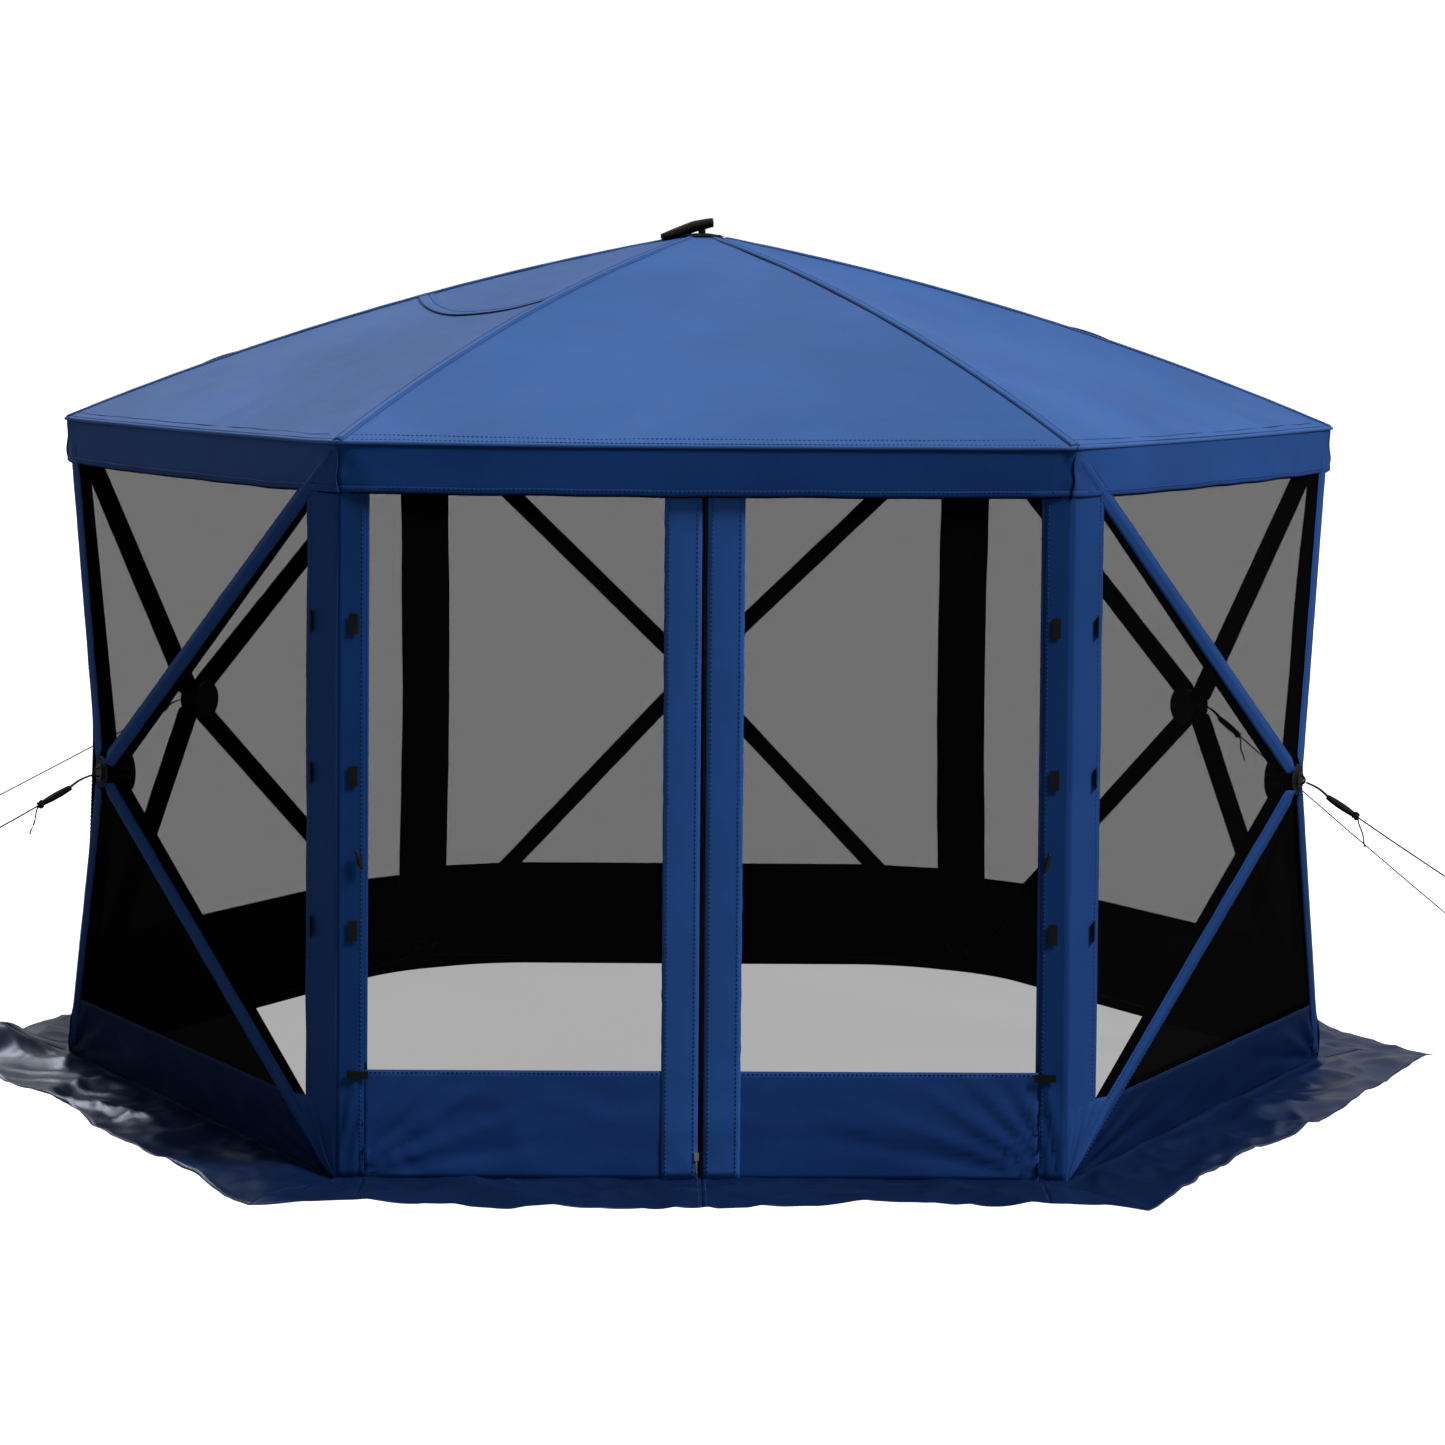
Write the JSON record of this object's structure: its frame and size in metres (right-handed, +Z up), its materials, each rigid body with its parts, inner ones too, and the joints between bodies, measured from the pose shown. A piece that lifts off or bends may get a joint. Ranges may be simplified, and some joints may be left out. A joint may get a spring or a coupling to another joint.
{
  "type": "screen house",
  "caption": "Hexagonal hub-frame screen house: arched blue canopy, netting walls pushed out by folding hubs, zipped two-leaf door, ground skirt and guy ropes.",
  "frame": {"origin": "on the ground at the centre of the six-sided plan", "axes": "+Z up, -Y towards the zipped front door, +X to the right as seen from the front"},
  "size_m": [4.8074, 3.6458, 2.343],
  "materials": {
    "pole_fibreglass": "dark pultruded glass fibre, faint long grain",
    "hub_plastic": "black moulded nylon, satin",
    "roof_cloth": "plain-weave coated polyester, medium blue with a soft sheen",
    "trim_cloth": "plain-weave polyester, navy blue, top-stitched",
    "mesh_screen": "fine black no-see-um netting",
    "skirt_cloth": "coated navy polyester, glossy and creased",
    "zip_metal": "nickel-plated die casting",
    "guy_cord": "black braided cord",
    "webbing": "black nylon webbing and hook-and-loop tape"
  },
  "bodies": {
    "root": {"top_corner_joints": "hub_plastic", "corner_feet": "hub_plastic", "canopy": "roof_cloth", "valance": "trim_cloth", "wall_panel_back_right": "mesh_screen", "wall_panel_back": "mesh_screen", "wall_panel_back_left": "mesh_screen", "wall_panel_front_left": "mesh_screen", "wall_panel_front_right": "mesh_screen", "corner_bands": "trim_cloth", "fastening_tabs": "webbing", "ground_skirt": "skirt_cloth"},
    "roof_hub": {"roof_hub": "hub_plastic", "roof_strap": "webbing"},
    "roof_pole_right": {"roof_pole_right": "pole_fibreglass"},
    "roof_pole_back_right": {"roof_pole_back_right": "pole_fibreglass"},
    "roof_pole_back_left": {"roof_pole_back_left": "pole_fibreglass"},
    "roof_pole_left": {"roof_pole_left": "pole_fibreglass"},
    "roof_pole_front_left": {"roof_pole_front_left": "pole_fibreglass"},
    "roof_pole_front_right": {"roof_pole_front_right": "pole_fibreglass"},
    "hub_back_right": {"wall_hub_back_right": "hub_plastic", "guy_strap_back_right": "webbing", "guy_rope_back_right": "guy_cord"},
    "wall_pole_back_right_upper_left": {"wall_pole_back_right_upper_left": "pole_fibreglass"},
    "wall_pole_back_right_upper_right": {"wall_pole_back_right_upper_right": "pole_fibreglass"},
    "wall_pole_back_right_lower_left": {"wall_pole_back_right_lower_left": "pole_fibreglass"},
    "wall_pole_back_right_lower_right": {"wall_pole_back_right_lower_right": "pole_fibreglass"},
    "hub_back": {"wall_hub_back": "hub_plastic"},
    "wall_pole_back_upper_left": {"wall_pole_back_upper_left": "pole_fibreglass"},
    "wall_pole_back_upper_right": {"wall_pole_back_upper_right": "pole_fibreglass"},
    "wall_pole_back_lower_left": {"wall_pole_back_lower_left": "pole_fibreglass"},
    "wall_pole_back_lower_right": {"wall_pole_back_lower_right": "pole_fibreglass"},
    "hub_back_left": {"wall_hub_back_left": "hub_plastic", "guy_strap_back_left": "webbing", "guy_rope_back_left": "guy_cord"},
    "wall_pole_back_left_upper_left": {"wall_pole_back_left_upper_left": "pole_fibreglass"},
    "wall_pole_back_left_upper_right": {"wall_pole_back_left_upper_right": "pole_fibreglass"},
    "wall_pole_back_left_lower_left": {"wall_pole_back_left_lower_left": "pole_fibreglass"},
    "wall_pole_back_left_lower_right": {"wall_pole_back_left_lower_right": "pole_fibreglass"},
    "hub_front_left": {"wall_hub_front_left": "hub_plastic", "guy_strap_front_left": "webbing", "guy_rope_front_left": "guy_cord"},
    "wall_pole_front_left_upper_left": {"wall_pole_front_left_upper_left": "pole_fibreglass"},
    "wall_pole_front_left_upper_right": {"wall_pole_front_left_upper_right": "pole_fibreglass"},
    "wall_pole_front_left_lower_left": {"wall_pole_front_left_lower_left": "pole_fibreglass"},
    "wall_pole_front_left_lower_right": {"wall_pole_front_left_lower_right": "pole_fibreglass"},
    "hub_front_right": {"wall_hub_front_right": "hub_plastic", "guy_strap_front_right": "webbing", "guy_rope_front_right": "guy_cord"},
    "wall_pole_front_right_upper_left": {"wall_pole_front_right_upper_left": "pole_fibreglass"},
    "wall_pole_front_right_upper_right": {"wall_pole_front_right_upper_right": "pole_fibreglass"},
    "wall_pole_front_right_lower_left": {"wall_pole_front_right_lower_left": "pole_fibreglass"},
    "wall_pole_front_right_lower_right": {"wall_pole_front_right_lower_right": "pole_fibreglass"},
    "door_left": {"door_left": "mesh_screen"},
    "door_right": {"door_right": "mesh_screen"},
    "zip_slider": {"zip_slider": "zip_metal"}
  },
  "joints": [
    {"name": "roof_hub_drop", "type": "slide", "parent": "root", "child": "roof_hub", "axis": [0, 0, 1], "range_m": [-0.968, 0], "deforming": ["canopy"]},
    {"name": "roof_pole_fold_right", "type": "hinge", "parent": "root", "child": "roof_pole_right", "pos_m": [1.7, 0, 1.798], "axis": [0, 1, 0], "range_deg": [-34.7, 1]},
    {"name": "roof_pole_fold_back_right", "type": "hinge", "parent": "root", "child": "roof_pole_back_right", "pos_m": [0.85, 1.47224, 1.798], "axis": [-0.866, 0.5, 0], "range_deg": [-34.7, 1]},
    {"name": "roof_pole_fold_back_left", "type": "hinge", "parent": "root", "child": "roof_pole_back_left", "pos_m": [-0.85, 1.47224, 1.798], "axis": [-0.866, -0.5, 0], "range_deg": [-34.7, 1]},
    {"name": "roof_pole_fold_left", "type": "hinge", "parent": "root", "child": "roof_pole_left", "pos_m": [-1.7, 0, 1.798], "axis": [0, -1, 0], "range_deg": [-34.7, 1]},
    {"name": "roof_pole_fold_front_left", "type": "hinge", "parent": "root", "child": "roof_pole_front_left", "pos_m": [-0.85, -1.47224, 1.798], "axis": [0.866, -0.5, 0], "range_deg": [-34.7, 1]},
    {"name": "roof_pole_fold_front_right", "type": "hinge", "parent": "root", "child": "roof_pole_front_right", "pos_m": [0.85, -1.47224, 1.798], "axis": [0.866, 0.5, 0], "range_deg": [-34.7, 1]},
    {"name": "wall_hub_pop_back_right", "type": "slide", "parent": "root", "child": "hub_back_right", "axis": [0.866, 0.5, 0], "range_m": [-0.45, 0], "deforming": ["wall_panel_back_right"]},
    {"name": "wall_pole_fold_back_right_upper_left", "type": "hinge", "parent": "root", "child": "wall_pole_back_right_upper_left", "pos_m": [1.71318, 0.02464, 1.755], "axis": [0.3535, -0.6123, -0.7072], "range_deg": [-22.5, 1]},
    {"name": "wall_pole_fold_back_right_upper_right", "type": "hinge", "parent": "root", "child": "wall_pole_back_right_upper_right", "pos_m": [0.87793, 1.47134, 1.755], "axis": [0.3535, -0.6123, 0.7072], "range_deg": [-22.5, 1]},
    {"name": "wall_pole_fold_back_right_lower_left", "type": "hinge", "parent": "root", "child": "wall_pole_back_right_lower_left", "pos_m": [1.73218, 0.02464, 0.045], "axis": [-0.3597, 0.623, -0.6946], "range_deg": [-22, 1]},
    {"name": "wall_pole_fold_back_right_lower_right", "type": "hinge", "parent": "root", "child": "wall_pole_back_right_lower_right", "pos_m": [0.88743, 1.48779, 0.045], "axis": [-0.3597, 0.623, 0.6946], "range_deg": [-22, 1]},
    {"name": "wall_hub_pop_back", "type": "slide", "parent": "root", "child": "hub_back", "axis": [0, 1, 0], "range_m": [-0.45, 0], "deforming": ["wall_panel_back"]},
    {"name": "wall_pole_fold_back_upper_left", "type": "hinge", "parent": "root", "child": "wall_pole_back_upper_left", "pos_m": [0.83525, 1.49598, 1.755], "axis": [0.707, 0, -0.7072], "range_deg": [-22.5, 1]},
    {"name": "wall_pole_fold_back_upper_right", "type": "hinge", "parent": "root", "child": "wall_pole_back_upper_right", "pos_m": [-0.83525, 1.49598, 1.755], "axis": [0.707, 0, 0.7072], "range_deg": [-22.5, 1]},
    {"name": "wall_pole_fold_back_lower_left", "type": "hinge", "parent": "root", "child": "wall_pole_back_lower_left", "pos_m": [0.84475, 1.51243, 0.045], "axis": [-0.7194, 0, -0.6946], "range_deg": [-22, 1]},
    {"name": "wall_pole_fold_back_lower_right", "type": "hinge", "parent": "root", "child": "wall_pole_back_lower_right", "pos_m": [-0.84475, 1.51243, 0.045], "axis": [-0.7194, 0, 0.6946], "range_deg": [-22, 1]},
    {"name": "wall_hub_pop_back_left", "type": "slide", "parent": "root", "child": "hub_back_left", "axis": [-0.866, 0.5, 0], "range_m": [-0.45, 0], "deforming": ["wall_panel_back_left"]},
    {"name": "wall_pole_fold_back_left_upper_left", "type": "hinge", "parent": "root", "child": "wall_pole_back_left_upper_left", "pos_m": [-0.87793, 1.47134, 1.755], "axis": [0.3535, 0.6123, -0.7072], "range_deg": [-22.5, 1]},
    {"name": "wall_pole_fold_back_left_upper_right", "type": "hinge", "parent": "root", "child": "wall_pole_back_left_upper_right", "pos_m": [-1.71318, 0.02464, 1.755], "axis": [0.3535, 0.6123, 0.7072], "range_deg": [-22.5, 1]},
    {"name": "wall_pole_fold_back_left_lower_left", "type": "hinge", "parent": "root", "child": "wall_pole_back_left_lower_left", "pos_m": [-0.88743, 1.48779, 0.045], "axis": [-0.3597, -0.623, -0.6946], "range_deg": [-22, 1]},
    {"name": "wall_pole_fold_back_left_lower_right", "type": "hinge", "parent": "root", "child": "wall_pole_back_left_lower_right", "pos_m": [-1.73218, 0.02464, 0.045], "axis": [-0.3597, -0.623, 0.6946], "range_deg": [-22, 1]},
    {"name": "wall_hub_pop_front_left", "type": "slide", "parent": "root", "child": "hub_front_left", "axis": [-0.866, -0.5, 0], "range_m": [-0.45, 0], "deforming": ["wall_panel_front_left"]},
    {"name": "wall_pole_fold_front_left_upper_left", "type": "hinge", "parent": "root", "child": "wall_pole_front_left_upper_left", "pos_m": [-1.71318, -0.02464, 1.755], "axis": [-0.3535, 0.6123, -0.7072], "range_deg": [-22.5, 1]},
    {"name": "wall_pole_fold_front_left_upper_right", "type": "hinge", "parent": "root", "child": "wall_pole_front_left_upper_right", "pos_m": [-0.87793, -1.47134, 1.755], "axis": [-0.3535, 0.6123, 0.7072], "range_deg": [-22.5, 1]},
    {"name": "wall_pole_fold_front_left_lower_left", "type": "hinge", "parent": "root", "child": "wall_pole_front_left_lower_left", "pos_m": [-1.73218, -0.02464, 0.045], "axis": [0.3597, -0.623, -0.6946], "range_deg": [-22, 1]},
    {"name": "wall_pole_fold_front_left_lower_right", "type": "hinge", "parent": "root", "child": "wall_pole_front_left_lower_right", "pos_m": [-0.88743, -1.48779, 0.045], "axis": [0.3597, -0.623, 0.6946], "range_deg": [-22, 1]},
    {"name": "wall_hub_pop_front_right", "type": "slide", "parent": "root", "child": "hub_front_right", "axis": [0.866, -0.5, 0], "range_m": [-0.45, 0], "deforming": ["wall_panel_front_right"]},
    {"name": "wall_pole_fold_front_right_upper_left", "type": "hinge", "parent": "root", "child": "wall_pole_front_right_upper_left", "pos_m": [0.87793, -1.47134, 1.755], "axis": [-0.3535, -0.6123, -0.7072], "range_deg": [-22.5, 1]},
    {"name": "wall_pole_fold_front_right_upper_right", "type": "hinge", "parent": "root", "child": "wall_pole_front_right_upper_right", "pos_m": [1.71318, -0.02464, 1.755], "axis": [-0.3535, -0.6123, 0.7072], "range_deg": [-22.5, 1]},
    {"name": "wall_pole_fold_front_right_lower_left", "type": "hinge", "parent": "root", "child": "wall_pole_front_right_lower_left", "pos_m": [0.88743, -1.48779, 0.045], "axis": [0.3597, 0.623, -0.6946], "range_deg": [-22, 1]},
    {"name": "wall_pole_fold_front_right_lower_right", "type": "hinge", "parent": "root", "child": "wall_pole_front_right_lower_right", "pos_m": [1.73218, -0.02464, 0.045], "axis": [0.3597, 0.623, 0.6946], "range_deg": [-22, 1]},
    {"name": "door_left_swing", "type": "hinge", "parent": "root", "child": "door_left", "pos_m": [-0.82294, -1.53127, 0.01], "axis": [0.0056, 0.0096, 0.9999], "range_deg": [0, 95]},
    {"name": "door_right_swing", "type": "hinge", "parent": "root", "child": "door_right", "pos_m": [0.82294, -1.53127, 0.01], "axis": [-0.0056, 0.0096, 0.9999], "range_deg": [-95, 0]},
    {"name": "zip_travel", "type": "slide", "parent": "door_left", "child": "zip_slider", "axis": [0, 0.0096, 1], "range_m": [0, 1.59]}
  ],
  "couplings": [
    {"joint": "roof_pole_fold_right", "follows": "roof_hub_drop", "rad_per_m": 0.60687},
    {"joint": "roof_pole_fold_back_right", "follows": "roof_hub_drop", "rad_per_m": 0.60687},
    {"joint": "roof_pole_fold_back_left", "follows": "roof_hub_drop", "rad_per_m": 0.60687},
    {"joint": "roof_pole_fold_left", "follows": "roof_hub_drop", "rad_per_m": 0.60687},
    {"joint": "roof_pole_fold_front_left", "follows": "roof_hub_drop", "rad_per_m": 0.60687},
    {"joint": "roof_pole_fold_front_right", "follows": "roof_hub_drop", "rad_per_m": 0.60687},
    {"joint": "wall_pole_fold_back_right_upper_left", "follows": "wall_hub_pop_back_right", "rad_per_m": 0.83549},
    {"joint": "wall_pole_fold_back_right_upper_right", "follows": "wall_hub_pop_back_right", "rad_per_m": 0.83549},
    {"joint": "wall_pole_fold_back_right_lower_left", "follows": "wall_hub_pop_back_right", "rad_per_m": 0.81392},
    {"joint": "wall_pole_fold_back_right_lower_right", "follows": "wall_hub_pop_back_right", "rad_per_m": 0.81392},
    {"joint": "wall_pole_fold_back_upper_left", "follows": "wall_hub_pop_back", "rad_per_m": 0.83549},
    {"joint": "wall_pole_fold_back_upper_right", "follows": "wall_hub_pop_back", "rad_per_m": 0.83549},
    {"joint": "wall_pole_fold_back_lower_left", "follows": "wall_hub_pop_back", "rad_per_m": 0.81392},
    {"joint": "wall_pole_fold_back_lower_right", "follows": "wall_hub_pop_back", "rad_per_m": 0.81392},
    {"joint": "wall_pole_fold_back_left_upper_left", "follows": "wall_hub_pop_back_left", "rad_per_m": 0.83549},
    {"joint": "wall_pole_fold_back_left_upper_right", "follows": "wall_hub_pop_back_left", "rad_per_m": 0.83549},
    {"joint": "wall_pole_fold_back_left_lower_left", "follows": "wall_hub_pop_back_left", "rad_per_m": 0.81392},
    {"joint": "wall_pole_fold_back_left_lower_right", "follows": "wall_hub_pop_back_left", "rad_per_m": 0.81392},
    {"joint": "wall_pole_fold_front_left_upper_left", "follows": "wall_hub_pop_front_left", "rad_per_m": 0.83549},
    {"joint": "wall_pole_fold_front_left_upper_right", "follows": "wall_hub_pop_front_left", "rad_per_m": 0.83549},
    {"joint": "wall_pole_fold_front_left_lower_left", "follows": "wall_hub_pop_front_left", "rad_per_m": 0.81392},
    {"joint": "wall_pole_fold_front_left_lower_right", "follows": "wall_hub_pop_front_left", "rad_per_m": 0.81392},
    {"joint": "wall_pole_fold_front_right_upper_left", "follows": "wall_hub_pop_front_right", "rad_per_m": 0.83549},
    {"joint": "wall_pole_fold_front_right_upper_right", "follows": "wall_hub_pop_front_right", "rad_per_m": 0.83549},
    {"joint": "wall_pole_fold_front_right_lower_left", "follows": "wall_hub_pop_front_right", "rad_per_m": 0.81392},
    {"joint": "wall_pole_fold_front_right_lower_right", "follows": "wall_hub_pop_front_right", "rad_per_m": 0.81392}
  ]
}
